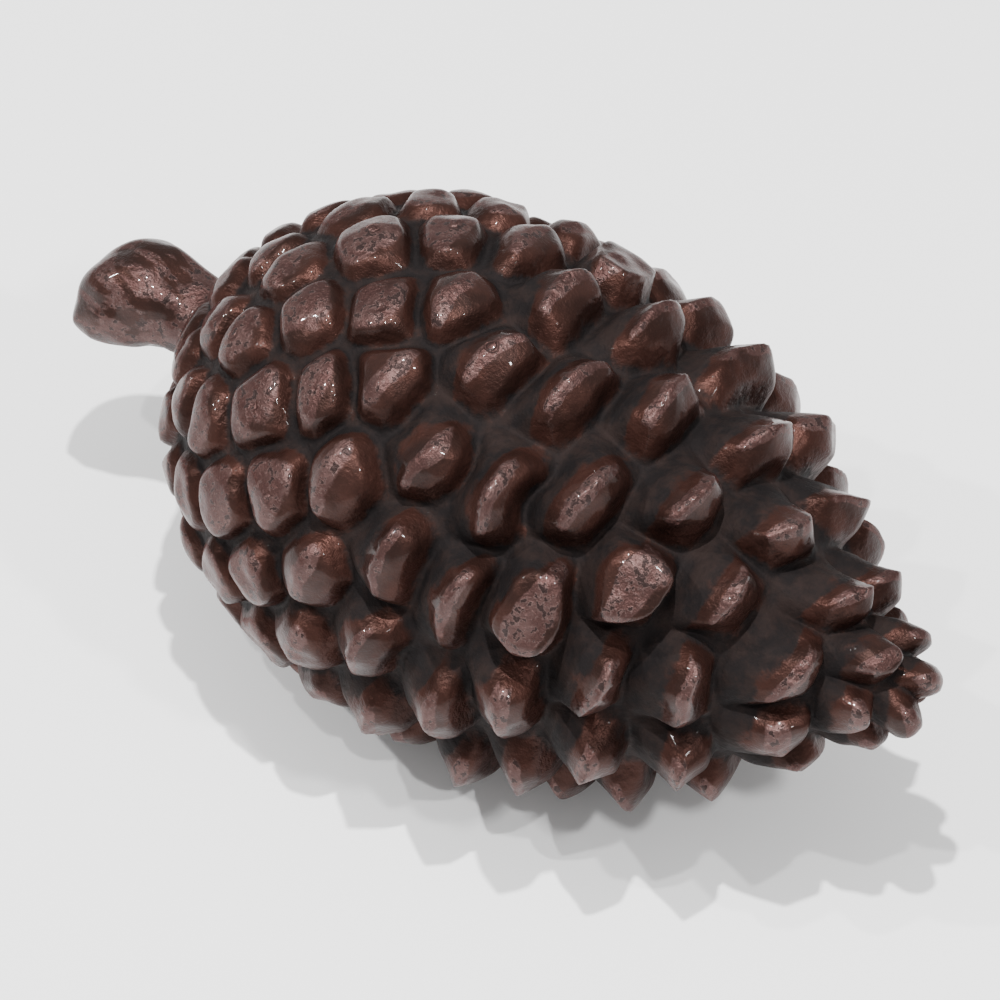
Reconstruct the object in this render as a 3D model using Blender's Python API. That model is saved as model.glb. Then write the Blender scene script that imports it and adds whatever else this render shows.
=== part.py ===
"""A cast pine cone ornament, lying on its side with its short stem.

The casting is one solid. A sphere is stretched onto a turned outline that runs from the stem's
cut end over the neck and the body to the tip, and every scale is raised from that surface by one
formula: a domed pillow near the stem, a ridge along a crest round the middle and a blunt tongue
near the tip.
"""
import math

import bmesh
import bpy
import numpy as np

MM = 0.001

# Scale tips lie on this outline: distance along the axis and radius, in millimetres.
# The axis runs from the stem at minus to the tip at plus.
TIP_OUTLINE = ((-60.0, 11.4), (-57.0, 16.6), (-52.5, 23.1), (-45.0, 30.8), (-33.0, 37.2),
               (-18.0, 41.0), (-8.0, 42.0), (4.0, 41.8), (12.0, 41.0), (20.0, 39.4),
               (28.0, 36.8), (36.0, 33.0), (42.0, 29.6), (49.5, 23.5), (55.0, 18.8),
               (60.0, 14.2), (65.0, 9.8), (70.0, 5.2), (72.5, 2.0), (73.5, 0.0))

# Rows of scales: where their tips lie along the axis, how many there are, and the angle of one.
ROWS = ((-57.6, 7, 10.0), (-53.6, 10, -19.0), (-48.8, 12, -2.0), (-42.2, 14, -0.7), (-32.6, 14, 12.0),
        (-22.6, 14, 1.2), (-14.2, 15, 14.8), (-2.2, 14, 1.4), (10.4, 12, 0.6), (21.9, 11, 20.6),
        (34.5, 11, 5.3), (46.0, 9, 32.6), (57.0, 7, 11.0), (65.0, 5, 48.0), (70.6, 2, 80.0))

# How a scale's form changes along the axis.
FORM_STATION = (-60.0, -45.0, -30.0, -15.0, 0.0, 12.0, 24.0, 36.0, 48.0, 60.0, 70.0)
SCALE_HEIGHT = (2.0, 2.6, 3.1, 4.4, 6.6, 7.8, 8.4, 8.5, 7.8, 5.8, 3.8)
SCALE_LEAN = (8.0, 8.0, 8.0, 8.0, 8.0, 9.0, 10.0, 12.0, 13.0, 14.0, 14.0)
CREST_HALF_LENGTH = (0.4, 0.5, 0.5, 0.9, 2.2, 3.4, 3.6, 3.2, 2.6, 1.8, 1.4)
FLOOR_HALF_WIDTH = (0.2, 0.35, 0.4, 0.3, 0.1, 0.0, 0.0, 0.0, 0.0, 0.0, 0.0)
WALL_WIDTH = (1.4, 1.6, 1.8, 2.0, 2.2, 2.4, 2.4, 2.4, 2.2, 1.9, 1.6)
WALL_FOOT = (1.0, 1.0, 1.0, 1.1, 1.3, 1.4, 1.4, 1.4, 1.3, 1.2, 1.0)
EDGE_SHARE = (0.50, 0.45, 0.42, 0.45, 0.50, 0.52, 0.54, 0.56, 0.60, 0.62, 0.62)
DOME_RADIUS = (5.4, 7.2, 8.4, 8.8, 9.0, 9.0, 9.0, 9.0, 8.0, 6.5, 5.0)
# The share of a ridge of its own outline in the form, and its reach to each side, onward and back.
RIDGE_SHARE = (0.0, 0.0, 0.0, 0.34, 0.70, 0.76, 0.78, 0.80, 0.80, 0.5, 0.0)
RIDGE_LONG_SIDE = (4.0, 6.5, 8.0, 10.6, 12.6, 13.4, 13.2, 12.4, 11.0, 8.2, 5.0)
RIDGE_SHORT_SIDE = (4.0, 6.0, 7.0, 7.8, 8.4, 8.6, 8.4, 7.8, 6.8, 5.4, 4.4)
RIDGE_FRONT = (4.0, 5.0, 6.0, 9.0, 10.8, 11.4, 11.0, 10.0, 8.6, 7.0, 4.6)
RIDGE_BACK = (4.0, 5.0, 5.0, 6.4, 7.4, 7.8, 7.8, 7.4, 6.6, 5.4, 4.2)
FRONT_ROUND = 1.15
FRONT_FOOT = 1.35
BACK_ROUND = 1.05
BACK_FOOT = 1.7
LONG_TAPER = 1.3
SHORT_TAPER = 3.4
TAPER_OF_REACH = 0.7
CREST_BOW = 0.022
RIDGE_VARIETY = 0.14
# Some scales have a broad flat face instead of a crest: their row and their angle.
FLAT_SCALES = ((21.9, 20.6), (34.5, 5.3), (10.4, 120.6), (34.5, 136.0), (21.9, -143.0), (-2.2, -76.0))
FLAT_BREADTH = 1.2
FLAT_HEIGHT = 0.74
FLAT_STEEPNESS = 1.6
FLAT_TILT = 0.15
FLAT_MATCH = 0.98
FRONT_REACH = (1.0, 1.0, 1.0, 0.96, 0.92, 0.88, 0.88, 0.90, 0.94, 1.0, 1.0)
CREST_TURN = 10.0
CREST_TURN_MEAN = -5.0
CREST_SHIFT = 1.2
BORDER_SHARPNESS = 1.1
SLOPE_REACH = 2.8

# The stem, from its cut end to the body: along the axis, radius, and sideways bend.
STEM_OUTLINE = ((-82.0, 0.0), (-81.6, 3.6), (-80.0, 6.6), (-76.5, 8.6), (-71.5, 8.4),
                (-67.5, 7.2), (-64.0, 6.4), (-60.6, 6.4), (-58.6, 8.6))
STEM_BEND_START = -62.0
STEM_BEND = 0.0105
STEM_LOBES = 5
STEM_LOBE_DEPTH = 0.35
STEM_LOBE_RADIUS = 8.0
STEM_BLEND = 4.0

# The tip of the body leans a little to one side.
TIP_POLE = 68.4
TIP_BEND = 3.6
TIP_BEND_START = 46.0
TIP_BEND_LENGTH = 22.0

# Small irregularities of the hand-made pattern.
ANGLE_SCATTER = 0.10
ALONG_SCATTER = 0.45
HEIGHT_SCATTER = 0.09
SCATTER_SEED = 7

# Soft bends of the scales' outlines.
WARP_SIZE = 7.0
WARP_DEPTH = 1.2
WARP_SEEDS = (11, 12, 13)
LATTICE_SIDE = 32
LATTICE_SHIFT = 1000

# How the cone lies: turned about its axis until its lowest scale tips touch the surface.
ROLL = 34.0
FLAT_SPOT_DEPTH = 1.3
LEVEL_WITHIN = 0.12

ROUND_SEGMENTS = 320
LENGTH_SEGMENTS = 240
KEPT_TRIANGLES = 11000

BRONZE_COLOUR = (0.105, 0.048, 0.032, 1.0)
BRONZE_ROUGHNESS = 0.35


def clear_scene():
    for old in list(bpy.data.objects):
        bpy.data.objects.remove(old, do_unlink=True)


def smooth_step(value):
    """Goes from 0 to 1 as the value does, level at both ends."""
    value = np.clip(value, 0, 1)
    return value * value * (3 - 2 * value)


def smooth_curve(points, places):
    """A Catmull-Rom curve through the points, read at places from 0 to 1 of its chord length."""
    points = np.asarray(points, float)
    step = np.hypot(*np.diff(points, axis=0).T)
    chord = np.concatenate([[0.0], np.cumsum(step)])
    slope = np.gradient(points, chord, axis=0)
    place = np.asarray(places) * chord[-1]
    i = np.clip(np.searchsorted(chord, place, side="right") - 1, 0, len(points) - 2)
    width = (chord[i + 1] - chord[i])[:, None]
    f = ((place - chord[i]) / width[:, 0])[:, None]
    return ((2 * f**3 - 3 * f**2 + 1) * points[i] + (f**3 - 2 * f**2 + f) * width * slope[i]
            + (3 * f**2 - 2 * f**3) * points[i + 1] + (f**3 - f**2) * width * slope[i + 1])


def lumps(points, size, seed):
    """Smooth random lumps from -1 to 1: seeded values on a cubic lattice, blended between its corners."""
    side = LATTICE_SIDE
    lattice = np.random.default_rng(seed).uniform(-1, 1, (side, side, side))
    place = points / size + LATTICE_SHIFT
    corner = np.floor(place).astype(int)
    share = smooth_step(place - corner)
    total = np.zeros(len(points))
    for dx in (0, 1):
        for dy in (0, 1):
            for dz in (0, 1):
                x, y, z = ((corner + (dx, dy, dz)) % side).T
                weight = np.prod(np.where((dx, dy, dz), share, 1 - share), axis=1)
                total += weight * lattice[x, y, z]
    return total


def around(along, radius, angle):
    """A point of the cone in its own frame: the axis is Z and angle 0 is X."""
    return np.stack([radius * np.cos(angle), radius * np.sin(angle), along], axis=-1)


def scale_list():
    """Every scale: root along and out, angle, height, lean, slope of the body and station."""
    rng = np.random.default_rng(SCATTER_SEED)
    outline = np.array(TIP_OUTLINE)
    rows = []
    for station, count, first in ROWS:
        turns = (np.arange(count) + ANGLE_SCATTER * rng.uniform(-1, 1, count)) / count
        angle = math.radians(first) + 2 * math.pi * turns
        along = station + ALONG_SCATTER * rng.uniform(-1, 1, count)
        height = np.interp(station, FORM_STATION, SCALE_HEIGHT)
        height = height * (1 + HEIGHT_SCATTER * rng.uniform(-1, 1, count))
        before, after = np.interp((station - SLOPE_REACH, station + SLOPE_REACH), *outline.T)
        slope = math.atan((after - before) / (2 * SLOPE_REACH))
        lean = math.radians(np.interp(station, FORM_STATION, SCALE_LEAN)) - slope
        root_along = along - height * math.sin(lean)
        root_radius = np.interp(station, *outline.T) - np.mean(height) * math.cos(lean)
        rows.append(np.stack([root_along, np.full(count, root_radius), angle, height,
                              np.full(count, lean), np.full(count, slope), np.full(count, station)]))
    return np.concatenate(rows, axis=1)


def ground_outline(scales):
    """The outline of the groove floors: the stem, then the mean root of each row, then the tip."""
    body = []
    for station, _, _ in ROWS:
        row = scales[:, scales[6] == station]
        body.append((row[0].mean(), row[1].mean()))
    return list(STEM_OUTLINE) + body + [(TIP_POLE, 0.0)]


def rise_of(inside, first, ridge, form):
    """Height from 0 to 1 of a point by its distances in mm inside its cell's border and from its crest.

    Near the stem a scale is a pillow that fills its cell: a groove floor, a quarter-round wall,
    and a top that falls with the square of the distance from its middle, from 1 to the edge
    share. Further on it is a ridge of its own outline.
    """
    floor, wall, foot, edge, radius, ridge_share = form
    climb = np.clip((inside - floor) / wall, 0, 1)
    climb = 1 - (1 - climb**foot) ** 2
    pillow = 1 - (1 - edge) * np.minimum(first / radius, 1) ** 2
    return climb * (pillow + (ridge - pillow) * ridge_share)


def ridge_of(across_crest, from_crest, long_side, short_side, front, back):
    """Height from 0 to 1 of a ridge along a crest that tapers gently to one end and ends blunt at the other.

    With c, the crest's height at its place from middle to end t, as 1 - t^taper, the height is
    c (1 - d^round)^foot, where d is the distance from the crest over a reach that shrinks with c.
    """
    side = np.abs(across_crest) / np.where(across_crest > 0, long_side, short_side)
    crest = np.maximum(1 - side ** np.where(across_crest > 0, LONG_TAPER, SHORT_TAPER), 0)
    reach = np.where(from_crest > 0, front, back) * crest**TAPER_OF_REACH + 1e-6
    rounding = np.where(from_crest > 0, FRONT_ROUND, BACK_ROUND)
    foot = np.where(from_crest > 0, FRONT_FOOT, BACK_FOOT)
    return crest * np.maximum(1 - np.abs(from_crest / reach) ** rounding, 0) ** foot


def raised(ground, scales):
    """Move ground points out by the scale that each is nearest to, and return the new points.

    A scale owns the points that are nearer to its crest, a short arc round the cone, than to any
    other crest; distances towards the tip count a little less. Its height goes from nothing at
    the border of that cell, whose corners are rounded, to its full height at the crest, and the
    points move along the scale's own lean direction. A few scales end in a flat face.
    """
    root_along, root_radius, angle, height, lean, slope, station = scales
    rng = np.random.default_rng(SCATTER_SEED + 1)
    turn = np.radians(CREST_TURN_MEAN + CREST_TURN * rng.uniform(-1, 1, len(station)))[:, None]
    shift = CREST_SHIFT * rng.uniform(-1, 1, len(station))
    root = around(root_along, root_radius, angle)
    level = np.stack([-np.sin(angle), np.cos(angle), np.zeros_like(angle)], axis=-1)
    down_axis = around(np.cos(slope), np.sin(slope), angle)
    across = np.cos(turn) * level + np.sin(turn) * down_axis
    onward = np.cos(turn) * down_axis - np.sin(turn) * level
    out = around(np.sin(lean), np.cos(lean), angle)
    half, onward_weight, floor, wall, foot, edge, radius, ridge_share, long_side, short_side, front, back = (
        np.interp(station, FORM_STATION, table)
        for table in (CREST_HALF_LENGTH, FRONT_REACH, FLOOR_HALF_WIDTH, WALL_WIDTH, WALL_FOOT, EDGE_SHARE,
                      DOME_RADIUS, RIDGE_SHARE, RIDGE_LONG_SIDE, RIDGE_SHORT_SIDE, RIDGE_FRONT, RIDGE_BACK))
    long_side *= 1 + RIDGE_VARIETY * rng.uniform(-1, 1, len(station))
    front *= 1 + RIDGE_VARIETY * rng.uniform(-1, 1, len(station))
    flat = np.zeros(len(station), bool)
    for flat_station, flat_angle in FLAT_SCALES:
        flat |= (station == flat_station) & (np.cos(angle - math.radians(flat_angle)) > FLAT_MATCH)
    long_side[flat] *= FLAT_BREADTH
    front[flat] *= FLAT_BREADTH
    ridge_reach = (long_side, short_side, front, back)

    moved = ground.copy()
    body = np.nonzero(ground[:, 2] > STEM_OUTLINE[-2][0])[0]
    for part in np.array_split(body, 60):
        gap = ground[part][:, None, :] - root[None, :, :]
        sideways = np.einsum("ijk,jk->ij", gap, across)
        tipward = np.einsum("ijk,jk->ij", gap, onward)
        depth = np.maximum(np.einsum("ijk,ijk->ij", gap, gap) - sideways**2 - tipward**2, 0)
        distance = np.sqrt(depth + (tipward * np.where(tipward > 0, onward_weight, 2 - onward_weight)) ** 2
                           + np.maximum(np.abs(sideways) - half, 0) ** 2)
        owner = np.argmin(distance, axis=1)
        row = np.arange(len(part))
        first = distance[row, owner]
        closeness = np.exp(-BORDER_SHARPNESS * (distance - first[:, None]))
        closeness[row, owner] = 0
        inside = np.maximum(-np.log(closeness.sum(axis=1)) / (2 * BORDER_SHARPNESS), 0)
        across_crest = sideways[row, owner] - shift[owner]
        from_crest = tipward[row, owner] - CREST_BOW * across_crest**2
        ridge = ridge_of(across_crest, from_crest, *(reach[owner] for reach in ridge_reach))
        form = [table[owner] for table in (floor, wall, foot, edge, radius, ridge_share)]
        rise = rise_of(inside, first, ridge, form)
        rise = np.where(flat[owner], np.minimum(FLAT_STEEPNESS * rise, FLAT_HEIGHT + FLAT_TILT * rise), rise)
        moved[part] += (height[owner] * rise)[:, None] * out[owner]
    return moved


def bronze_material():
    material = bpy.data.materials.new("bronze_lacquer")
    material.use_nodes = True
    shader = material.node_tree.nodes["Principled BSDF"]
    shader.inputs["Base Color"].default_value = BRONZE_COLOUR
    shader.inputs["Metallic"].default_value = 1.0
    shader.inputs["Roughness"].default_value = BRONZE_ROUGHNESS
    return material


def cone_points(latitude, longitude):
    """Place the sphere's points on the cone: latitude runs along the outline, from stem to tip."""
    scales = scale_list()
    outline = smooth_curve(ground_outline(scales), latitude)
    along = outline[:, 0]
    radius = np.maximum(outline[:, 1], 0)
    stem = np.clip((STEM_BEND_START - along) / STEM_BLEND, 0, 1)
    radius = radius + stem * STEM_LOBE_DEPTH * np.cos(STEM_LOBES * longitude) * radius / STEM_LOBE_RADIUS
    ground = around(along, radius, longitude)
    warp = np.stack([lumps(ground, WARP_SIZE, seed) for seed in WARP_SEEDS], axis=-1) * WARP_DEPTH
    warp *= (1 - stem)[:, None]
    points = raised(ground + warp, scales) - warp
    tip_share = (points[:, 2] - TIP_BEND_START) / TIP_BEND_LENGTH
    points[:, 1] += STEM_BEND * np.maximum(STEM_BEND_START - points[:, 2], 0) ** 2
    points[:, 1] -= TIP_BEND * smooth_step(tip_share)
    return points


def laid_down(points):
    """Lie the cone on its side: its tip to +X, its lowest tips pressed flat on the surface."""
    roll = math.radians(ROLL)
    x, y, z = points.T
    side = -x * math.sin(roll) - y * math.cos(roll)
    upward = x * math.cos(roll) - y * math.sin(roll)
    lying = np.stack([z, side, upward], axis=-1)
    lying[:, 2] -= lying[:, 2].min() + FLAT_SPOT_DEPTH
    lying[:, 2] = np.maximum(lying[:, 2], 0)
    lying[:, :2] -= (lying[:, :2].max(axis=0) + lying[:, :2].min(axis=0)) / 2
    return lying


def make_cone():
    mesh = bpy.data.meshes.new("dense_cone")
    sphere = bmesh.new()
    bmesh.ops.create_uvsphere(sphere, u_segments=ROUND_SEGMENTS, v_segments=LENGTH_SEGMENTS, radius=1.0)
    sphere.to_mesh(mesh)
    sphere.free()

    place = np.empty(len(mesh.vertices) * 3)
    mesh.vertices.foreach_get("co", place)
    place = place.reshape(-1, 3)
    latitude = 1 - np.arccos(np.clip(place[:, 2], -1, 1)) / math.pi
    longitude = np.arctan2(place[:, 1], place[:, 0])
    points = laid_down(cone_points(latitude, longitude)) * MM
    mesh.vertices.foreach_set("co", points.ravel())
    mesh.update()

    dense = bpy.data.objects.new("dense_cone", mesh)
    bpy.context.scene.collection.objects.link(dense)
    thin = dense.modifiers.new("fewer faces", "DECIMATE")
    thin.decimate_type = "COLLAPSE"
    thin.use_collapse_triangulate = True
    thin.ratio = KEPT_TRIANGLES / (2 * ROUND_SEGMENTS * (LENGTH_SEGMENTS - 1))
    thinned = bpy.data.meshes.new_from_object(dense.evaluated_get(bpy.context.evaluated_depsgraph_get()))
    bpy.data.objects.remove(dense, do_unlink=True)

    # The fewer faces are pressed flat once more, so that each resting spot is exactly level.
    place = np.empty(len(thinned.vertices) * 3)
    thinned.vertices.foreach_get("co", place)
    place = place.reshape(-1, 3)
    place[:, 2] = np.where(place[:, 2] < LEVEL_WITHIN * MM, 0, place[:, 2])
    thinned.vertices.foreach_set("co", place.ravel())
    thinned.update()
    thinned.shade_smooth()

    cone = bpy.data.objects.new("pine_cone", thinned)
    thinned.name = "pine_cone"
    thinned.materials.clear()
    thinned.materials.append(bronze_material())
    collection = bpy.data.collections.new("pine_cone_ornament")
    bpy.context.scene.collection.children.link(collection)
    collection.objects.link(cone)


clear_scene()
make_cone()
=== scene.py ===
"""A cast pine cone ornament in antiqued bronze, lying on a pale floor in soft studio light.

The cone is one fine surface: rings of points along a turned outline, from which every scale is
raised by one formula. The finish follows marks that the formula leaves on the surface.
"""
import math

import bpy
import numpy as np
from mathutils import Matrix, Vector


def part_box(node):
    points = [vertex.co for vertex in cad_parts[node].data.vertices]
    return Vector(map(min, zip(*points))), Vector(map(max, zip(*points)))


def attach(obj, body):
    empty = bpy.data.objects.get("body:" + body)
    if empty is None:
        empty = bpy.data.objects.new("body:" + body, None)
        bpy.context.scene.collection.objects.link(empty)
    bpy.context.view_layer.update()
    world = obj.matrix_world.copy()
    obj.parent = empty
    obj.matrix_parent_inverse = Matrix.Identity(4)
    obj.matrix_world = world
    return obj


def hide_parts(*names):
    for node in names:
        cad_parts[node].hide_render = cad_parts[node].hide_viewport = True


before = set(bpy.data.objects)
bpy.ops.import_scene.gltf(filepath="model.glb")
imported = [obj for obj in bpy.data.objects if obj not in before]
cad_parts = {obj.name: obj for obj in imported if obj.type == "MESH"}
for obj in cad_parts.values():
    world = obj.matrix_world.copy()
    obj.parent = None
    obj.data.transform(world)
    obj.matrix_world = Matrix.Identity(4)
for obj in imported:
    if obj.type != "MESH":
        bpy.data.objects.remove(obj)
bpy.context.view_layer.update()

MM = 0.001

# Outline of the scale tips, along the cone's axis and out from it, in millimetres.
# The axis runs from the stem at minus to the tip at plus.
TIP_OUTLINE = ((-60.0, 11.4), (-57.0, 16.6), (-52.5, 23.1), (-45.0, 30.8), (-33.0, 37.2),
               (-18.0, 41.0), (-8.0, 42.0), (4.0, 41.8), (12.0, 41.0), (20.0, 39.4),
               (28.0, 36.8), (36.0, 33.0), (42.0, 29.6), (49.5, 23.5), (55.0, 18.8),
               (60.0, 14.2), (65.0, 9.8), (70.0, 5.2), (72.5, 2.0), (73.5, 0.0))

# Rows of scales: where their tips lie along the axis, how many there are, and the angle of one.
ROWS = ((-57.6, 7, 10.0), (-53.6, 10, -19.0), (-48.8, 12, -2.0), (-42.2, 14, -0.7), (-32.6, 14, 12.0),
        (-22.6, 14, 1.2), (-14.2, 15, 14.8), (-2.2, 14, 1.4), (10.4, 12, 0.6), (21.9, 11, 20.6),
        (34.5, 11, 5.3), (46.0, 9, 32.6), (57.0, 7, 11.0), (65.0, 5, 48.0), (70.6, 2, 80.0))

# How a scale's form changes along the axis.
FORM_STATION = (-60.0, -45.0, -30.0, -15.0, 0.0, 12.0, 24.0, 36.0, 48.0, 60.0, 70.0)
SCALE_HEIGHT = (2.0, 2.6, 3.1, 4.4, 6.6, 7.8, 8.4, 8.5, 7.8, 5.8, 3.8)
SCALE_LEAN = (8.0, 8.0, 8.0, 8.0, 8.0, 9.0, 10.0, 12.0, 13.0, 14.0, 14.0)
CREST_HALF_LENGTH = (0.4, 0.5, 0.5, 0.9, 2.2, 3.4, 3.6, 3.2, 2.6, 1.8, 1.4)
FLOOR_HALF_WIDTH = (0.2, 0.35, 0.4, 0.3, 0.1, 0.0, 0.0, 0.0, 0.0, 0.0, 0.0)
WALL_WIDTH = (1.4, 1.6, 1.8, 2.0, 2.2, 2.4, 2.4, 2.4, 2.2, 1.9, 1.6)
WALL_FOOT = (1.0, 1.0, 1.0, 1.1, 1.3, 1.4, 1.4, 1.4, 1.3, 1.2, 1.0)
EDGE_SHARE = (0.50, 0.45, 0.42, 0.45, 0.50, 0.52, 0.54, 0.56, 0.60, 0.62, 0.62)
DOME_RADIUS = (5.4, 7.2, 8.4, 8.8, 9.0, 9.0, 9.0, 9.0, 8.0, 6.5, 5.0)
# The share of a ridge of its own outline in the form, and its reach to each side, onward and back.
RIDGE_SHARE = (0.0, 0.0, 0.0, 0.34, 0.70, 0.76, 0.78, 0.80, 0.80, 0.5, 0.0)
RIDGE_LONG_SIDE = (4.0, 6.5, 8.0, 10.6, 12.6, 13.4, 13.2, 12.4, 11.0, 8.2, 5.0)
RIDGE_SHORT_SIDE = (4.0, 6.0, 7.0, 7.8, 8.4, 8.6, 8.4, 7.8, 6.8, 5.4, 4.4)
RIDGE_FRONT = (4.0, 5.0, 6.0, 9.0, 10.8, 11.4, 11.0, 10.0, 8.6, 7.0, 4.6)
RIDGE_BACK = (4.0, 5.0, 5.0, 6.4, 7.4, 7.8, 7.8, 7.4, 6.6, 5.4, 4.2)
# How a ridge falls from its crest onward and back, and how the crest tapers to its two ends.
FRONT_ROUND = 1.15
FRONT_FOOT = 1.35
BACK_ROUND = 1.05
BACK_FOOT = 1.7
LONG_TAPER = 1.3
SHORT_TAPER = 3.4
TAPER_OF_REACH = 0.7
CREST_BOW = 0.022
RIDGE_VARIETY = 0.14
LEAST_REACH = 1e-6
# Some scales have a broad flat face instead of a crest: their row and their angle.
FLAT_SCALES = ((21.9, 20.6), (34.5, 5.3), (10.4, 120.6), (34.5, 136.0), (21.9, -143.0), (-2.2, -76.0))
FLAT_BREADTH = 1.2
FLAT_HEIGHT = 0.74
FLAT_STEEPNESS = 1.6
FLAT_TILT = 0.15
FLAT_MATCH = 0.98
# A flat scale's own number, above every other scale's, by which the finish knows it.
FLAT_NUMBER = 2
# How much a distance towards the tip counts, and how far crests turn and shift in their cells.
FRONT_REACH = (1.0, 1.0, 1.0, 0.96, 0.92, 0.88, 0.88, 0.90, 0.94, 1.0, 1.0)
CREST_TURN = 10.0
CREST_TURN_MEAN = -5.0
CREST_SHIFT = 1.2
BORDER_SHARPNESS = 1.1
SLOPE_REACH = 2.8

# The stem, from its cut end to the body: along the axis, radius, and sideways bend.
STEM_OUTLINE = ((-82.0, 0.0), (-81.6, 3.6), (-80.0, 6.6), (-76.5, 8.6), (-71.5, 8.4),
                (-67.5, 7.2), (-64.0, 6.4), (-60.6, 6.4), (-58.6, 8.6))
STEM_BEND_START = -62.0
STEM_BEND = 0.0105
STEM_LOBES = 5
STEM_LOBE_DEPTH = 0.35
STEM_LOBE_RADIUS = 8.0
STEM_BLEND = 4.0
# The stem counts as this far from the middle of any scale, so no ring is pressed into it.
STEM_FROM_MIDDLE = 99.0

# The tip of the body leans a little to one side.
TIP_POLE = 68.4
TIP_BEND = 3.6
TIP_BEND_START = 46.0
TIP_BEND_LENGTH = 22.0

# Small irregularities of the hand-made pattern.
ANGLE_SCATTER = 0.10
ALONG_SCATTER = 0.45
HEIGHT_SCATTER = 0.09
SCATTER_SEED = 7

# Soft bends of the scales' outlines, and lumps of their faces.
WARP_SIZE = 7.0
WARP_DEPTH = 1.2
WARP_SEEDS = (11, 12, 13)
FACE_LUMP_SIZE = 3.2
FACE_LUMP_HEIGHT = 0.50
FACE_LUMP_SEED = 21
FACE_LUMP_LEAST_RADIUS = 3.0
LATTICE_SIDE = 32
LATTICE_SHIFT = 1000

# How the cone lies.
ROLL = 34.0
FLAT_SPOT_DEPTH = 1.3

# The fine surface: its grid, how many batches its points are worked out in, and the faces kept.
ROUND_STEPS = 640
LENGTH_STEPS = 440
BATCHES = 150
KEPT_TRIANGLES = 192000

# Colours of the finish, as linear light.
LACQUER_DARK = (0.0195, 0.0093, 0.0075, 1)
LACQUER_WARM = (0.0350, 0.0153, 0.0120, 1)
COPPER_DULL = (0.048, 0.0240, 0.0215, 1)
COPPER_RUBBED = (0.064, 0.0330, 0.0300, 1)
COPPER_PALE = (0.082, 0.047, 0.043, 1)
PIT_RIM = (0.150, 0.096, 0.088, 1)
PIT_FLOOR = (0.0160, 0.0110, 0.0105, 1)
# Charcoal of the grooves, also put on the backs of the ridges as painted shade.
GROOVE_AND_SHADE_BLACK = (0.0080, 0.0070, 0.0072, 1)
GROOVE_AND_SHADE_DUSTY = (0.0145, 0.0102, 0.0094, 1)
SHEEN_TINT = (0.40, 0.30, 0.28, 1)
FLOOR_GREY = (0.94, 0.94, 0.94, 1)
FLOOR_PALE = (0.97, 0.97, 0.97, 1)

# The camera looks down on the lying cone from its tip's side, through a long lens.
CAMERA_AZIMUTH = 36.9
CAMERA_ELEVATION = 49.9
CAMERA_DISTANCE = 1.5
SENSOR_WIDTH = 36.0
PIXEL_SIZE = 0.15 * MM
PICTURE_PIXELS = 1000
# The cone's own origin, on its axis, shows at this pixel of the picture.
ORIGIN_PIXEL = (530.9, 507.8)
SIGHT_LIMIT = 20.0

FLOOR_SIZE = 6.0
SKY_STRENGTH = 0.64
# Square lights: the direction they shine from as azimuth and height, distance, size and watts.
LIGHTS = (("key", 30, 84, 0.9, 0.02, 13),
          ("side", -50, 50, 0.9, 0.02, 4),
          ("glint", -10, 66, 0.9, 0.02, 3),
          ("front", 80, 50, 0.9, 0.05, 4),
          ("top", 60, 80, 1.5, 1.5, 6))


def smooth_step(value):
    """Goes from 0 to 1 as the value does, level at both ends."""
    value = np.clip(value, 0, 1)
    return value * value * (3 - 2 * value)


def smooth_curve(points, places):
    """A smooth cubic curve through the points, read at places from 0 to 1 of its chord length."""
    points = np.asarray(points, float)
    step = np.hypot(*np.diff(points, axis=0).T)
    chord = np.concatenate([[0.0], np.cumsum(step)])
    slope = np.gradient(points, chord, axis=0)
    place = np.asarray(places) * chord[-1]
    i = np.clip(np.searchsorted(chord, place, side="right") - 1, 0, len(points) - 2)
    width = (chord[i + 1] - chord[i])[:, None]
    f = ((place - chord[i]) / width[:, 0])[:, None]
    return ((2 * f**3 - 3 * f**2 + 1) * points[i] + (f**3 - 2 * f**2 + f) * width * slope[i]
            + (3 * f**2 - 2 * f**3) * points[i + 1] + (f**3 - f**2) * width * slope[i + 1])


def lumps(points, size, seed):
    """Smooth random lumps from -1 to 1: seeded values on a cubic lattice, blended between its corners."""
    side = LATTICE_SIDE
    lattice = np.random.default_rng(seed).uniform(-1, 1, (side, side, side))
    place = points / size + LATTICE_SHIFT
    corner = np.floor(place).astype(int)
    share = smooth_step(place - corner)
    total = np.zeros(len(points))
    for dx in (0, 1):
        for dy in (0, 1):
            for dz in (0, 1):
                x, y, z = ((corner + (dx, dy, dz)) % side).T
                weight = np.prod(np.where((dx, dy, dz), share, 1 - share), axis=1)
                total += weight * lattice[x, y, z]
    return total


def around(along, radius, angle):
    """A point of the cone in its own frame: the axis is Z and angle 0 is X."""
    return np.stack([radius * np.cos(angle), radius * np.sin(angle), along], axis=-1)


def scale_list():
    """Every scale: root along and out, angle, height, lean, slope of the body and station."""
    rng = np.random.default_rng(SCATTER_SEED)
    outline = np.array(TIP_OUTLINE)
    rows = []
    for station, count, first in ROWS:
        turns = np.arange(count) + ANGLE_SCATTER * rng.uniform(-1, 1, count)
        angle = math.radians(first) + 2 * math.pi * turns / count
        along = station + ALONG_SCATTER * rng.uniform(-1, 1, count)
        height = np.interp(station, FORM_STATION, SCALE_HEIGHT)
        height = height * (1 + HEIGHT_SCATTER * rng.uniform(-1, 1, count))
        before, after = np.interp((station - SLOPE_REACH, station + SLOPE_REACH), *outline.T)
        slope = math.atan((after - before) / (2 * SLOPE_REACH))
        lean = math.radians(np.interp(station, FORM_STATION, SCALE_LEAN)) - slope
        root_along = along - height * math.sin(lean)
        root_radius = np.interp(station, *outline.T) - np.mean(height) * math.cos(lean)
        rows.append(np.stack([root_along, np.full(count, root_radius), angle, height,
                              np.full(count, lean), np.full(count, slope), np.full(count, station)]))
    return np.concatenate(rows, axis=1)


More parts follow.
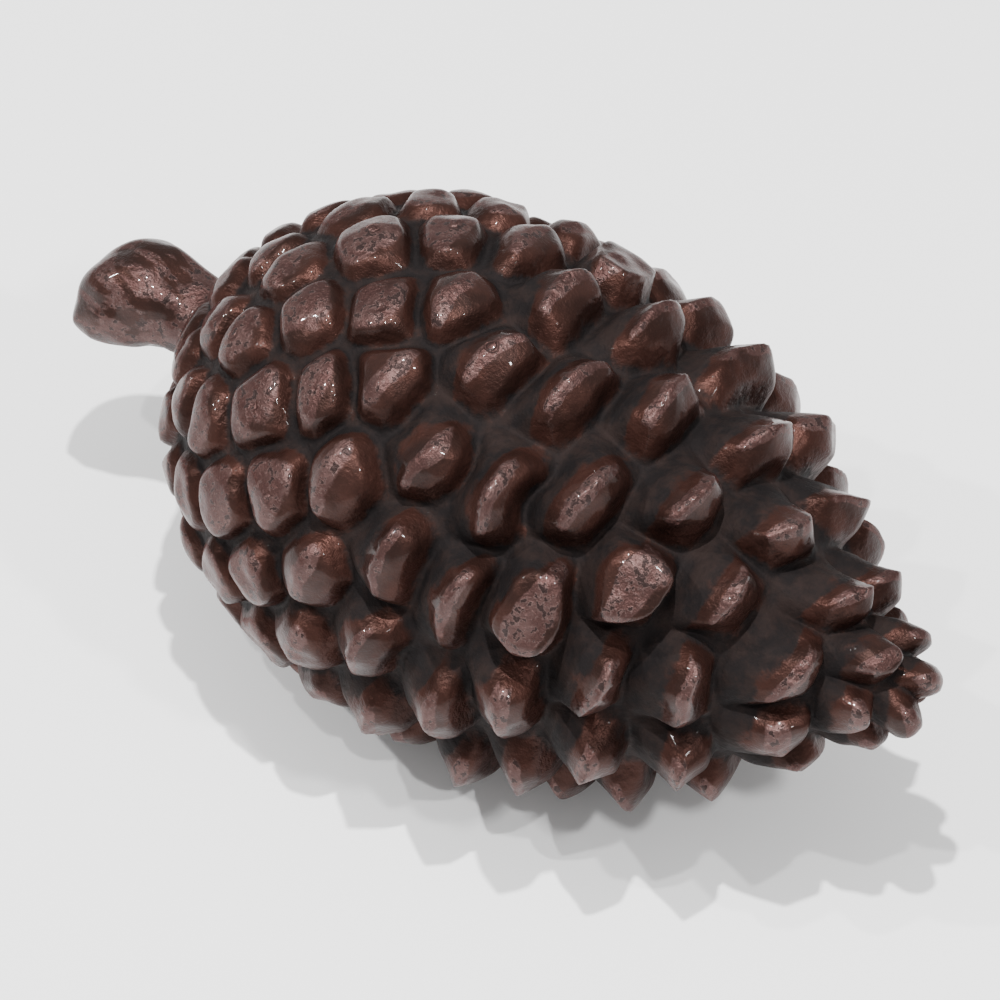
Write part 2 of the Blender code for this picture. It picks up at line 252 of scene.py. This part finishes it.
def ground_outline(scales):
    """The outline of the groove floors: the stem, then the mean root of each row, then the tip."""
    body = []
    for station, _, _ in ROWS:
        row = scales[:, scales[6] == station]
        body.append((row[0].mean(), row[1].mean()))
    return list(STEM_OUTLINE) + body + [(TIP_POLE, 0.0)]


def rise_of(inside, first, ridge, form):
    """Height from 0 to 1 of a point by its distances in mm inside its cell's border and from its crest.

    Near the stem a scale is a pillow that fills its cell: a groove floor, a quarter-round wall,
    and a top that falls with the square of the distance from its middle, from 1 to the edge
    share. Further on, the ridge takes over most of the height and stands on a low mound.
    """
    floor, wall, foot, edge, radius, ridge_share = form
    climb = np.clip((inside - floor) / wall, 0, 1)
    climb = 1 - (1 - climb**foot) ** 2
    pillow = 1 - (1 - edge) * np.minimum(first / radius, 1) ** 2
    return climb * (pillow + (ridge - pillow) * ridge_share)


def ridge_of(across_crest, from_crest, long_side, short_side, front, back):
    """Height from 0 to 1 of a ridge along a crest that tapers gently to one end and ends blunt at the other.

    With c, the crest's height at its place from middle to end t, as 1 - t^taper, the height is
    c (1 - d^round)^foot, where d is the distance from the crest over a reach that shrinks with c.
    """
    side = np.abs(across_crest) / np.where(across_crest > 0, long_side, short_side)
    crest = np.maximum(1 - side ** np.where(across_crest > 0, LONG_TAPER, SHORT_TAPER), 0)
    reach = np.where(from_crest > 0, front, back) * crest**TAPER_OF_REACH + LEAST_REACH
    rounding = np.where(from_crest > 0, FRONT_ROUND, BACK_ROUND)
    foot = np.where(from_crest > 0, FRONT_FOOT, BACK_FOOT)
    return crest * np.maximum(1 - np.abs(from_crest / reach) ** rounding, 0) ** foot


def raised(ground, scales):
    """Move ground points out by the scale that each is nearest to.

    A scale owns the points that are nearer to its crest, a short arc round the cone, than to any
    other crest; distances towards the tip count a little less. Its height goes from nothing at
    the border of that cell, whose corners are rounded, to its full height at the crest, and the
    points move along the scale's own lean direction. A few scales end in a flat face.

    Also returns the marks that the finish follows: each point's share of the way up, how far it
    lies towards the tip from the crest, its distance from the scale's root, a random number of
    its scale, and how far it lies along the crest.
    """
    root_along, root_radius, angle, height, lean, slope, station = scales
    rng = np.random.default_rng(SCATTER_SEED + 1)
    turn = np.radians(CREST_TURN_MEAN + CREST_TURN * rng.uniform(-1, 1, len(station)))[:, None]
    shift = CREST_SHIFT * rng.uniform(-1, 1, len(station))
    root = around(root_along, root_radius, angle)
    level = np.stack([-np.sin(angle), np.cos(angle), np.zeros_like(angle)], axis=-1)
    down_axis = around(np.cos(slope), np.sin(slope), angle)
    across = np.cos(turn) * level + np.sin(turn) * down_axis
    onward = np.cos(turn) * down_axis - np.sin(turn) * level
    out = around(np.sin(lean), np.cos(lean), angle)
    half, onward_weight, floor, wall, foot, edge, radius, ridge_share, long_side, short_side, front, back = (
        np.interp(station, FORM_STATION, table)
        for table in (CREST_HALF_LENGTH, FRONT_REACH, FLOOR_HALF_WIDTH, WALL_WIDTH, WALL_FOOT, EDGE_SHARE,
                      DOME_RADIUS, RIDGE_SHARE, RIDGE_LONG_SIDE, RIDGE_SHORT_SIDE, RIDGE_FRONT, RIDGE_BACK))
    long_side *= 1 + RIDGE_VARIETY * rng.uniform(-1, 1, len(station))
    front *= 1 + RIDGE_VARIETY * rng.uniform(-1, 1, len(station))
    flat = np.zeros(len(station), bool)
    for flat_station, flat_angle in FLAT_SCALES:
        flat |= (station == flat_station) & (np.cos(angle - math.radians(flat_angle)) > FLAT_MATCH)
    long_side[flat] *= FLAT_BREADTH
    front[flat] *= FLAT_BREADTH
    ridge_reach = (long_side, short_side, front, back)
    own_number = np.random.default_rng(SCATTER_SEED + 2).uniform(0, 1, len(station))
    own_number[flat] = FLAT_NUMBER

    moved = ground.copy()
    marks = np.zeros((len(ground), 5))
    marks[:, 0] = 1
    marks[:, 2] = STEM_FROM_MIDDLE
    body = np.nonzero(ground[:, 2] > STEM_OUTLINE[-2][0])[0]
    for part in np.array_split(body, BATCHES):
        gap = ground[part][:, None, :] - root[None, :, :]
        sideways = np.einsum("ijk,jk->ij", gap, across)
        tipward = np.einsum("ijk,jk->ij", gap, onward)
        square = np.einsum("ijk,ijk->ij", gap, gap)
        depth = np.maximum(square - sideways**2 - tipward**2, 0)
        distance = np.sqrt(depth + (tipward * np.where(tipward > 0, onward_weight, 2 - onward_weight)) ** 2
                           + np.maximum(np.abs(sideways) - half, 0) ** 2)
        owner = np.argmin(distance, axis=1)
        row = np.arange(len(part))
        first = distance[row, owner]
        closeness = np.exp(-BORDER_SHARPNESS * (distance - first[:, None]))
        closeness[row, owner] = 0
        inside = np.maximum(-np.log(closeness.sum(axis=1)) / (2 * BORDER_SHARPNESS), 0)
        across_crest = sideways[row, owner] - shift[owner]
        from_crest = tipward[row, owner] - CREST_BOW * across_crest**2
        ridge = ridge_of(across_crest, from_crest, *(reach[owner] for reach in ridge_reach))
        form = [table[owner] for table in (floor, wall, foot, edge, radius, ridge_share)]
        rise = rise_of(inside, first, ridge, form)
        rise = np.where(flat[owner], np.minimum(FLAT_STEEPNESS * rise, FLAT_HEIGHT + FLAT_TILT * rise), rise)
        moved[part] += (height[owner] * rise)[:, None] * out[owner]
        from_middle = np.sqrt(square[row, owner])
        marks[part] = np.stack([rise, from_crest, from_middle, own_number[owner], across_crest], axis=-1)
    return moved, marks


def cone_points():
    """The cone's fine surface on a grid of length by round steps, its marks and its share of body.

    Rings run along the outline from the stem's cut end to the tip, at even shares of its length.
    The ground is bent softly while the scales are raised, which bends their outlines, and small
    lumps that grow with the height then roughen their faces.
    """
    scales = scale_list()
    latitude = np.linspace(0, 1, LENGTH_STEPS + 1)
    longitude = np.linspace(-math.pi, math.pi, ROUND_STEPS, endpoint=False)
    outline = smooth_curve(ground_outline(scales), latitude)
    along = np.repeat(outline[:, 0], ROUND_STEPS)
    radius = np.repeat(np.maximum(outline[:, 1], 0), ROUND_STEPS)
    angle = np.tile(longitude, LENGTH_STEPS + 1)
    stem = np.clip((STEM_BEND_START - along) / STEM_BLEND, 0, 1)
    radius = radius + stem * STEM_LOBE_DEPTH * np.cos(STEM_LOBES * angle) * radius / STEM_LOBE_RADIUS
    ground = around(along, radius, angle)
    warp = np.stack([lumps(ground, WARP_SIZE, seed) for seed in WARP_SEEDS], axis=-1) * WARP_DEPTH
    warp *= (1 - stem)[:, None]
    points, marks = raised(ground + warp, scales)
    points -= warp
    knobs = FACE_LUMP_HEIGHT * lumps(ground, FACE_LUMP_SIZE, FACE_LUMP_SEED) * marks[:, 0]
    from_axis = np.maximum(np.hypot(points[:, 0], points[:, 1]), FACE_LUMP_LEAST_RADIUS)
    points[:, :2] *= (1 + knobs / from_axis)[:, None]
    tip_share = (points[:, 2] - TIP_BEND_START) / TIP_BEND_LENGTH
    points[:, 1] += STEM_BEND * np.maximum(STEM_BEND_START - points[:, 2], 0) ** 2
    points[:, 1] -= TIP_BEND * smooth_step(tip_share)
    return points, marks, 1 - stem


def laid_down(points):
    """Lie the cone on its side: its tip to +X, its lowest tips pressed flat. Also returns its shift."""
    roll = math.radians(ROLL)
    x, y, z = points.T
    side = -x * math.sin(roll) - y * math.cos(roll)
    upward = x * math.cos(roll) - y * math.sin(roll)
    lying = np.stack([z, side, upward], axis=-1)
    middle = (lying.max(axis=0) + lying.min(axis=0)) / 2
    shift = np.array([-middle[0], -middle[1], -lying[:, 2].min() - FLAT_SPOT_DEPTH])
    lying += shift
    lying[:, 2] = np.maximum(lying[:, 2], 0)
    return lying, shift


def grid_mesh(name, points, rings, steps):
    """A closed mesh from a grid of rings whose first and last rings are single points."""
    inner = points.reshape(rings, steps, 3)[1:-1].reshape(-1, 3)
    corners = np.concatenate([points[:1], inner, points[-1:]])
    ring = np.arange(rings - 2)[:, None] * steps + 1
    place = np.arange(steps)[None, :]
    here = ring + place
    beside = ring + (place + 1) % steps
    quads = np.stack([here[:-1], beside[:-1], beside[1:], here[1:]], axis=-1).reshape(-1, 4)
    first = np.stack([np.zeros(steps, int), beside[0], here[0]], axis=-1)
    last = np.stack([np.full(steps, len(corners) - 1), here[-1], beside[-1]], axis=-1)
    loops = np.concatenate([first.ravel(), quads.ravel(), last.ravel()])
    sizes = np.concatenate([np.full(steps, 3), np.full(len(quads), 4), np.full(steps, 3)])
    mesh = bpy.data.meshes.new(name)
    mesh.vertices.add(len(corners))
    mesh.loops.add(len(loops))
    mesh.polygons.add(len(sizes))
    mesh.vertices.foreach_set("co", corners.ravel())
    mesh.loops.foreach_set("vertex_index", loops)
    mesh.polygons.foreach_set("loop_start", np.concatenate([[0], np.cumsum(sizes)[:-1]]))
    mesh.update(calc_edges=True)
    mesh.validate()
    return mesh


def pole_mean(values, rings, steps):
    """Grid values for the corners of grid_mesh: one for each pole and all of the rings between."""
    grid = values.reshape(rings, steps)
    return np.concatenate([[grid[0].mean()], grid[1:-1].ravel(), [grid[-1].mean()]])


def add_attribute(mesh, name, values):
    """Stores one number for each corner of the mesh, for the material to read by its name."""
    layer = mesh.attributes.new(name, "FLOAT", "POINT")
    layer.data.foreach_set("value", values.astype(np.float32))


class Nodes:
    """Adds nodes to a material's tree: one method for every type."""

    def __init__(self, material):
        material.use_nodes = True
        self.tree = material.node_tree
        self.tree.nodes.clear()

    def add(self, kind, settings=None, inputs=None, output=0):
        """A node of a type, with its settings, its sockets' values or links, and the output to use."""
        node = self.tree.nodes.new(kind)
        for name, value in (settings or {}).items():
            setattr(node, name, value)
        for name, value in (inputs or {}).items():
            if isinstance(value, Value):
                self.tree.links.new(value.socket, node.inputs[name])
            else:
                node.inputs[name].default_value = value
        return Value(self, node.outputs[output]) if len(node.outputs) else node

    def math(self, operation, *values):
        return self.add("ShaderNodeMath", {"operation": operation}, dict(enumerate(values)))

    def mix(self, factor, first, second):
        """A colour between two colours."""
        return self.add("ShaderNodeMix", {"data_type": "RGBA"}, {0: factor, 6: first, 7: second}, output=2)

    def ramp(self, value, low, high):
        """Goes smoothly from 0 to 1 as the value goes from low to high."""
        return self.add("ShaderNodeMapRange", {"interpolation_type": "SMOOTHSTEP"},
                        {"Value": value, "From Min": low, "From Max": high})

    def noise(self, vector, size, detail=2.0, roughness=0.5):
        """Noise with features of a size in millimetres, from about 0.3 to 0.7."""
        return self.add("ShaderNodeTexNoise", {}, {"Vector": vector, "Scale": 1 / (size * MM),
                                                   "Detail": detail, "Roughness": roughness})

    def stretched(self, vector, factors):
        """The vector times a factor for each axis: a factor below 1 draws a pattern out along it."""
        return self.add("ShaderNodeVectorMath", {"operation": "MULTIPLY"}, {0: vector, 1: factors})

    def attribute(self, name):
        return self.add("ShaderNodeAttribute", {"attribute_name": name}, output="Fac")


class Value:
    """A socket that takes part in sums and products."""

    def __init__(self, nodes, socket):
        self.nodes = nodes
        self.socket = socket

    def __add__(self, other):
        return self.nodes.math("ADD", self, other)

    def __radd__(self, other):
        return self.nodes.math("ADD", other, self)

    def __sub__(self, other):
        return self.nodes.math("SUBTRACT", self, other)

    def __rsub__(self, other):
        return self.nodes.math("SUBTRACT", other, self)

    def __mul__(self, other):
        return self.nodes.math("MULTIPLY", self, other)

    def __rmul__(self, other):
        return self.nodes.math("MULTIPLY", other, self)


def bronze_material():
    """Antiqued bronze: rubbed copper high spots, brown lacquer and matt charcoal grooves, with partly
    painted reflection on the pillows' sides towards the stem and partly painted shade on the backs of the
    ridges.
    """
    material = bpy.data.materials.new("antiqued_bronze")
    n = Nodes(material)
    place = n.add("ShaderNodeTexCoord", output="Object")
    rise = n.attribute("rise")
    onward = n.attribute("onward")
    own_number = n.attribute("own_number")

    # Wear in patches, small pits, blots of lacquer and a fine grain, all fixed to the casting.
    wear = n.noise(place, 6.0, detail=3.0)
    pits = n.noise(place, 1.2, detail=3.0, roughness=0.6)
    blots = n.noise(place, 2.6, detail=4.0, roughness=0.65)
    fine = n.noise(place, 0.3, detail=2.0)

    # The stem is rubbed in long streaks, and the ridges in strokes along their crests.
    streaks = n.noise(n.stretched(place, (0.3, 1, 1)), 2.2, detail=3.0)
    level = rise - (1 - n.attribute("body")) * (0.30 - 1.3 * (streaks - 0.5))
    strokes = n.add("ShaderNodeCombineXYZ", {}, {"X": 0.3 * MM * n.attribute("sideways"),
                                                 "Y": MM * onward, "Z": own_number})
    brushed = n.noise(strokes, 1.5, detail=3.0, roughness=0.6)

    # From the middle on, copper keeps to a narrow line on the crest, and the back of each ridge is painted
    # dark: partly charcoal like the grooves, partly painted shade.
    to_tip = n.ramp(n.add("ShaderNodeSeparateXYZ", {}, {"Vector": place}, output="X"), -25 * MM, 5 * MM)
    ridge_back_paint_and_shade = n.ramp(onward, -0.3, -2.4) * to_tip
    # Near the stem, copper spreads further over each pillow's side towards the stem: partly rubbed copper,
    # partly a painted reflection of light on that side. From the middle on, copper keeps off the far front
    # of each ridge.
    side_rub_and_painted_reflection = (1 - to_tip) * (0.07 - 0.062 * onward) - to_tip * 0.11 * n.math("MAXIMUM", onward - 0.8, 0.0)
    crestline = n.ramp(n.math("ABSOLUTE", onward - 0.2), 1.9, 0.7) * to_tip
    marked = level + 0.24 * crestline + 0.6 * (wear - 0.5) + 0.4 * (blots - 0.5)
    marked = marked + 0.7 * to_tip * (brushed - 0.5)
    flat = n.math("GREATER_THAN", own_number, FLAT_NUMBER - 0.5)
    high = n.ramp(marked + side_rub_and_painted_reflection - 0.5 * ridge_back_paint_and_shade - 0.09 * to_tip + 0.36 * flat, 0.72, 0.85)

    # Pits have bright rims in the copper. The charcoal goes on what lies low, in the grooves, and behind a
    # ridge, where it is partly painted shade.
    pitted = pits + 0.25 * (blots - 0.5) + 0.30 * (wear - 0.5) + 0.02 * flat + 0.012 * (1 - to_tip)
    holes = n.ramp(pitted, 0.575, 0.615)
    rims = n.ramp(pitted, 0.53, 0.57) * (1 - holes)
    copper = high * (1 - 0.8 * holes)
    charcoal_and_back_shade = 1 - n.ramp(rise - 0.5 * ridge_back_paint_and_shade + 0.5 * (blots - 0.5) + 0.5 * (wear - 0.5), 0.02, 0.24)

    lacquer = n.mix(n.ramp(wear, 0.35, 0.65), LACQUER_DARK, LACQUER_WARM)
    metal = n.mix(n.ramp(fine, 0.3, 0.7), COPPER_DULL, COPPER_RUBBED)
    metal = n.mix(n.ramp(wear + blots, 0.85, 1.2), metal, COPPER_PALE)
    metal = n.mix(0.5 * rims, metal, PIT_RIM)
    colour = n.mix(high, lacquer, metal)
    colour = n.mix(0.8 * holes * high, colour, PIT_FLOOR)
    shade = n.mix(n.ramp(blots + wear, 0.8, 1.2), GROOVE_AND_SHADE_BLACK, GROOVE_AND_SHADE_DUSTY)
    colour = n.mix(charcoal_and_back_shade, colour, shade)
    metallic = (0.45 + 0.35 * copper) * (1 - charcoal_and_back_shade)
    roughness = 0.36 + 0.14 * copper + 0.32 * charcoal_and_back_shade
    coat = (0.06 + 0.42 * n.ramp(rise, 0.55, 0.90)) * (1 - charcoal_and_back_shade)

    # A small pressed ring round the middle of some scales, shallow pits, and soft lumps.
    ring = n.ramp(n.math("ABSOLUTE", n.attribute("from_middle") - 0.9), 0.35, 0.0)
    ring = ring * n.math("LESS_THAN", own_number, 0.4)
    dents = high * (0.5 * pits - 0.22 - 0.25 * holes)
    height = dents - 0.45 * ring + 0.05 * fine + 0.5 * wear + 0.7 * blots
    bump = n.add("ShaderNodeBump", {}, {"Strength": 1.0, "Distance": 0.6 * MM, "Height": height})

    shader = n.add("ShaderNodeBsdfPrincipled", {}, {
        "Base Color": colour, "Metallic": metallic, "Roughness": roughness, "Normal": bump,
        "Coat Weight": coat, "Coat Roughness": 0.05, "Coat IOR": 1.35,
        "Specular Tint": SHEEN_TINT, "Specular IOR Level": 0.12})
    n.add("ShaderNodeOutputMaterial", {}, {"Surface": shader})
    return material


def floor_material():
    """Pale matt floor with faint wide clouds."""
    material = bpy.data.materials.new("pale_floor")
    n = Nodes(material)
    cloud = n.noise(n.add("ShaderNodeTexCoord", output="Object"), 400.0)
    colour = n.mix(cloud, FLOOR_GREY, FLOOR_PALE)
    shader = n.add("ShaderNodeBsdfPrincipled", {}, {"Base Color": colour, "Roughness": 0.9})
    n.add("ShaderNodeOutputMaterial", {}, {"Surface": shader})
    return material


def thinned_mesh(mesh, kept_triangles):
    """The mesh with fewer triangles, taken from where it is flattest."""
    dense = bpy.data.objects.new("dense_cone", mesh)
    bpy.context.scene.collection.objects.link(dense)
    thin = dense.modifiers.new("fewer faces", "DECIMATE")
    thin.ratio = kept_triangles / (2 * ROUND_STEPS * (LENGTH_STEPS - 1))
    thinned = bpy.data.meshes.new_from_object(dense.evaluated_get(bpy.context.evaluated_depsgraph_get()))
    bpy.data.objects.remove(dense, do_unlink=True)
    return thinned


def make_cone():
    """Makes the cone in the place of its CAD solid, and returns where its own origin comes to lie."""
    points, marks, body = cone_points()
    points, shift = laid_down(points)
    box_low, box_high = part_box("pine_cone")
    centre = (Vector(box_low) + Vector(box_high)) / 2
    place = Vector((centre.x, centre.y, box_low[2]))
    rings = LENGTH_STEPS + 1
    mesh = grid_mesh("bronze_pine_cone", points * MM + np.array(place), rings, ROUND_STEPS)
    for name, values in zip(("rise", "onward", "from_middle", "own_number", "sideways"), marks.T):
        add_attribute(mesh, name, pole_mean(values, rings, ROUND_STEPS))
    add_attribute(mesh, "body", pole_mean(body, rings, ROUND_STEPS))
    thinned = thinned_mesh(mesh, KEPT_TRIANGLES)
    thinned.name = "bronze_pine_cone"
    thinned.shade_smooth()
    cone = bpy.data.objects.new("bronze_pine_cone", thinned)
    bpy.context.scene.collection.objects.link(cone)
    cone.data.materials.append(bronze_material())
    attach(cone, "root")
    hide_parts("pine_cone")
    return Vector((shift * MM).tolist()) + place


def make_floor():
    """The pale floor at the height where the cone rests, wide enough to fill the picture."""
    bpy.ops.mesh.primitive_plane_add(size=FLOOR_SIZE, location=(0, 0, 0))
    floor = bpy.context.object
    floor.name = "floor"
    floor.data.materials.append(floor_material())


def direction(azimuth, elevation):
    """The unit vector to a place round the cone: azimuth 0 is -Y, and 90 is +X."""
    a = math.radians(azimuth)
    e = math.radians(elevation)
    return Vector((math.sin(a) * math.cos(e), -math.cos(a) * math.cos(e), math.sin(e)))


def aim(obj, place, target):
    """Put an object at a place, with its -Z towards the target and its Y up."""
    look = (Vector(target) - Vector(place)).normalized()
    obj.matrix_world = Matrix.Translation(place) @ look.to_track_quat("-Z", "Y").to_matrix().to_4x4()


def make_camera(origin):
    """Aims the camera so that the cone's origin shows at its pixel, and returns its target."""
    azimuth = math.radians(CAMERA_AZIMUTH)
    back = direction(CAMERA_AZIMUTH, CAMERA_ELEVATION)
    right = Vector((math.cos(azimuth), math.sin(azimuth), 0))
    up = back.cross(right)
    rightward = (ORIGIN_PIXEL[0] - PICTURE_PIXELS / 2) * PIXEL_SIZE
    downward = (ORIGIN_PIXEL[1] - PICTURE_PIXELS / 2) * PIXEL_SIZE
    target = origin - right * rightward + up * downward
    data = bpy.data.cameras.new("camera")
    data.sensor_width = SENSOR_WIDTH
    data.lens = SENSOR_WIDTH * CAMERA_DISTANCE / (PICTURE_PIXELS * PIXEL_SIZE)
    data.clip_end = SIGHT_LIMIT
    camera = bpy.data.objects.new("camera", data)
    bpy.context.scene.collection.objects.link(camera)
    aim(camera, target + back * CAMERA_DISTANCE, target)
    bpy.context.scene.camera = camera
    return target


def add_light(name, azimuth, elevation, distance, size, watts, target):
    """A soft square light, placed by the direction that it shines from."""
    data = bpy.data.lights.new(name, "AREA")
    data.size = size
    data.energy = watts
    light = bpy.data.objects.new(name, data)
    bpy.context.scene.collection.objects.link(light)
    aim(light, Vector(target) + distance * direction(azimuth, elevation), target)


def make_world():
    """An even white light from all round, which fills the shadows."""
    world = bpy.data.worlds.new("studio")
    world.use_nodes = True
    background = world.node_tree.nodes["Background"]
    background.inputs["Color"].default_value = (1, 1, 1, 1)
    background.inputs["Strength"].default_value = SKY_STRENGTH
    bpy.context.scene.world = world


cone_origin = make_cone()
make_floor()
make_world()
view_target = make_camera(cone_origin)
for light in LIGHTS:
    add_light(*light, view_target)
